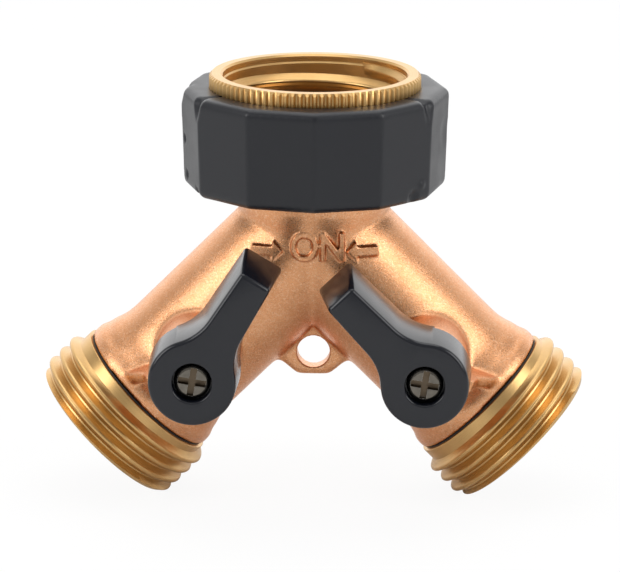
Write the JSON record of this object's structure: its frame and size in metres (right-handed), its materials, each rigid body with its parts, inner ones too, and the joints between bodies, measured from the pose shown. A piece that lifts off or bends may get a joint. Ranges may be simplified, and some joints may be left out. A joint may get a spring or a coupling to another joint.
{
  "type": "hose splitter",
  "caption": "Two-way garden hose splitter: cast Y body, swivel inlet nut with a rubber grip, threaded outlets, quarter-turn lever ball valves.",
  "frame": {"origin": "on the inlet axis at the washer face that the tap's end seats on", "axes": "+Z out of the inlet mouth, -X and +X towards the left and right outlets, -Y out of the front where the levers are"},
  "size_m": [0.082, 0.0473, 0.0652],
  "materials": {
    "cast_copper_brass": "fine-blasted casting, copper-toned, satin",
    "machined_brass": "turned, bright satin",
    "plated_brass": "chrome plated, polished",
    "grip_rubber": "moulded, satin, faintly blue grey",
    "lever_plastic": "moulded, semi-gloss",
    "nickel_steel": "nickel plated",
    "white_ptfe": "smooth, waxy",
    "seal_rubber": "smooth nitrile",
    "washer_rubber": "smooth moulded"
  },
  "bodies": {
    "splitter_body": {"splitter_body": "cast_copper_brass", "inlet_tailpiece": "machined_brass", "tailpiece_o_ring": "seal_rubber", "inlet_washer": "washer_rubber", "left_outlet": "machined_brass", "left_outlet_seal": "seal_rubber", "left_inner_seat": "white_ptfe", "left_outer_seat": "white_ptfe", "right_outlet": "machined_brass", "right_outlet_seal": "seal_rubber", "right_inner_seat": "white_ptfe", "right_outer_seat": "white_ptfe"},
    "inlet_nut": {"inlet_nut": "machined_brass", "nut_grip": "grip_rubber"},
    "left_valve": {"left_lever": "lever_plastic", "left_lever_screw": "nickel_steel", "left_stem": "machined_brass", "left_stem_o_rings": "seal_rubber", "left_thrust_washer": "white_ptfe", "left_ball": "plated_brass"},
    "right_valve": {"right_lever": "lever_plastic", "right_lever_screw": "nickel_steel", "right_stem": "machined_brass", "right_stem_o_rings": "seal_rubber", "right_thrust_washer": "white_ptfe", "right_ball": "plated_brass"}
  },
  "joints": [
    {"name": "inlet_nut_spin", "type": "hinge", "parent": "splitter_body", "child": "inlet_nut", "pos_m": [0, 0, 0], "axis": [0, 0, 1], "continuous": true},
    {"name": "left_valve_turn", "type": "hinge", "parent": "splitter_body", "child": "left_valve", "pos_m": [-0.01718, 0, -0.03188], "axis": [0, -1, 0], "range_deg": [-13.7, 76.3]},
    {"name": "right_valve_turn", "type": "hinge", "parent": "splitter_body", "child": "right_valve", "pos_m": [0.01718, 0, -0.03188], "axis": [0, -1, 0], "range_deg": [-89, 1]}
  ]
}
